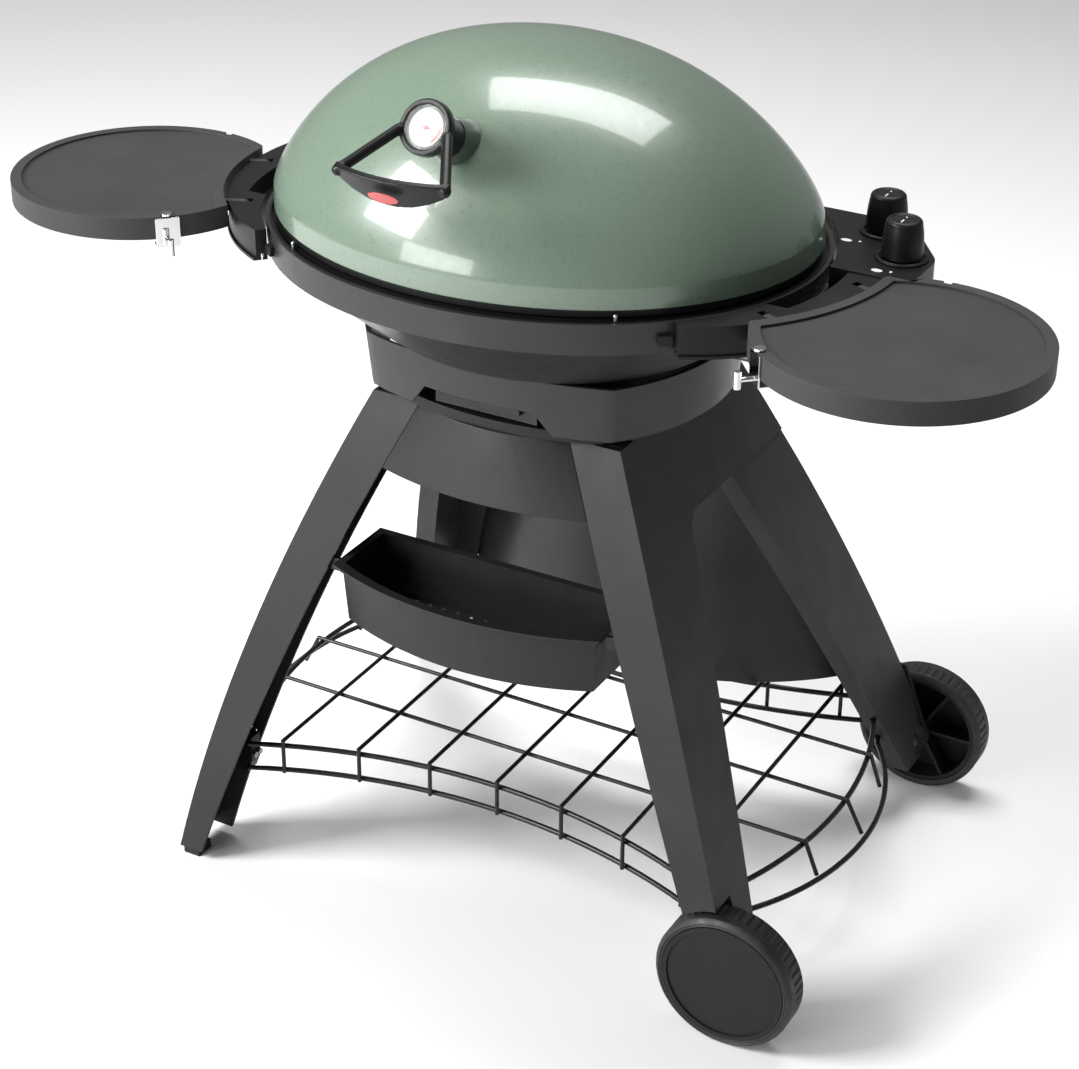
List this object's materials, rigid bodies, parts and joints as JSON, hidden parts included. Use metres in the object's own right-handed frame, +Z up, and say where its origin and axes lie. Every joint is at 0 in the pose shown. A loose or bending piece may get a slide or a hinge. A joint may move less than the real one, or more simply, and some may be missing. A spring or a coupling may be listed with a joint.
{
  "type": "gas barbecue on trolley",
  "caption": "Oval gas barbecue with a green domed hood on a four-legged trolley, with folding round side shelves, wheels, a basket and a wire shelf.",
  "frame": {"origin": "on the floor under the middle of the object", "axes": "+Z up, -Y the front where the cook stands, +X the side with the wheels and knobs"},
  "size_m": [1.19, 0.719, 1.023],
  "materials": {
    "leg_plastic": "satin",
    "shroud_enamel": "satin",
    "rubber": "matte",
    "tyre": "matte",
    "zinc_steel": "satin",
    "black_wire": "gloss",
    "black_plastic": "satin",
    "basket_enamel": "satin",
    "cast_body": "satin",
    "tray_steel": "satin",
    "grate_iron": "matte",
    "burner_steel": "satin",
    "brass": "satin",
    "knob_plastic": "satin",
    "icon_print": "satin",
    "shelf_plastic": "satin",
    "chrome": "polished",
    "hub_plastic": "satin",
    "enamel_green": "gloss",
    "base_green_black": "satin",
    "dial_white": "satin",
    "glass": "polished",
    "badge_red": "gloss",
    "needle_red": "satin"
  },
  "bodies": {
    "trolley": {"side_frame_left": "leg_plastic", "side_frame_right": "leg_plastic", "rear_leg_left": "leg_plastic", "rear_leg_right": "leg_plastic", "front_panel": "leg_plastic", "rear_crossbar": "leg_plastic", "bottle_shroud": "shroud_enamel", "leg_pads": "rubber", "axle_bolts": "zinc_steel", "rack_bolts": "zinc_steel", "shelf_pins": "zinc_steel", "rim_pins": "zinc_steel", "hinge_brackets": "zinc_steel", "rack_upper_rail": "black_wire", "rack_lower_rail": "black_wire", "rack_wires": "black_wire", "basket_hooks": "black_wire", "tray_runners": "black_wire", "rack_saddles": "black_plastic", "base_plate": "black_plastic", "pedestal": "cast_body", "bowl": "cast_body", "rim_ring": "black_plastic", "cooking_grate_left": "grate_iron", "cooking_grate_right": "grate_iron", "burner_front": "burner_steel", "burner_rear": "burner_steel", "burner_pipes": "brass", "gas_manifold": "brass", "valve_bodies": "brass", "control_panel": "black_plastic", "side_arm_left": "black_plastic", "side_arm_right": "black_plastic", "knob_bezels": "knob_plastic", "panel_icons": "icon_print", "arm_tabs": "black_plastic"},
    "basket": {"basket": "basket_enamel"},
    "drip_tray": {"drip_tray": "tray_steel"},
    "shelf_left": {"shelf_left": "shelf_plastic", "shelf_clip_left": "chrome"},
    "shelf_right": {"shelf_right": "shelf_plastic", "shelf_clip_right": "chrome"},
    "sleeve_front": {"knob_sleeve_front": "zinc_steel"},
    "sleeve_rear": {"knob_sleeve_rear": "zinc_steel"},
    "knob_front": {"knob_front": "knob_plastic"},
    "knob_rear": {"knob_rear": "knob_plastic"},
    "wheel_front": {"wheel_hub_front": "hub_plastic", "tyre_front": "tyre"},
    "wheel_rear": {"wheel_hub_rear": "hub_plastic", "tyre_rear": "tyre"},
    "hood": {"hood_shell": "enamel_green", "hood_seal": "black_plastic", "handle_loop": "black_plastic", "handle_base": "base_green_black", "thermometer_housing": "black_plastic", "hood_arms": "zinc_steel", "thermometer_dial": "dial_white", "thermometer_lens": "glass", "badge": "badge_red"},
    "needle": {"thermometer_needle": "needle_red"}
  },
  "joints": [
    {"name": "hood_lift", "type": "hinge", "parent": "trolley", "child": "hood", "pos_m": [0, 0.24506, 0.806], "axis": [-1, 0, 0], "range_deg": [0, 75]},
    {"name": "needle_turn", "type": "hinge", "parent": "hood", "child": "needle", "pos_m": [0, -0.27394, 0.994], "axis": [0, 0.8662, -0.4997], "range_deg": [0, 240]},
    {"name": "shelf_left_fold", "type": "hinge", "parent": "trolley", "child": "shelf_left", "pos_m": [-0.31, -0.15094, 0.815], "axis": [-0.415, 0.9098, 0], "range_deg": [0, 77]},
    {"name": "shelf_right_fold", "type": "hinge", "parent": "trolley", "child": "shelf_right", "pos_m": [0.31, -0.15094, 0.815], "axis": [-0.415, -0.9098, 0], "range_deg": [0, 77]},
    {"name": "wheel_front_spin", "type": "hinge", "parent": "trolley", "child": "wheel_front", "pos_m": [0.345, -0.19794, 0.0814], "axis": [0, 1, 0], "continuous": true},
    {"name": "wheel_rear_spin", "type": "hinge", "parent": "trolley", "child": "wheel_rear", "pos_m": [0.345, 0.30206, 0.0814], "axis": [0, 1, 0], "continuous": true},
    {"name": "tray_slide", "type": "slide", "parent": "trolley", "child": "drip_tray", "axis": [0, -1, 0], "range_m": [0, 0.12]},
    {"name": "basket_lift", "type": "slide", "parent": "trolley", "child": "basket", "axis": [0, 0, 1], "range_m": [0, 0.012]},
    {"name": "knob_front_press", "type": "slide", "parent": "trolley", "child": "sleeve_front", "axis": [0, 0, -1], "range_m": [0, 0.003], "stiffness_N_per_m": 500, "springref_m": -0.008},
    {"name": "knob_front_turn", "type": "hinge", "parent": "sleeve_front", "child": "knob_front", "pos_m": [0.371, 0.04806, 0.83], "axis": [0, 0, 1], "range_deg": [0, 170]},
    {"name": "knob_rear_press", "type": "slide", "parent": "trolley", "child": "sleeve_rear", "axis": [0, 0, -1], "range_m": [0, 0.003], "stiffness_N_per_m": 500, "springref_m": -0.008},
    {"name": "knob_rear_turn", "type": "hinge", "parent": "sleeve_rear", "child": "knob_rear", "pos_m": [0.329, 0.10906, 0.83], "axis": [0, 0, 1], "range_deg": [0, 170]}
  ]
}
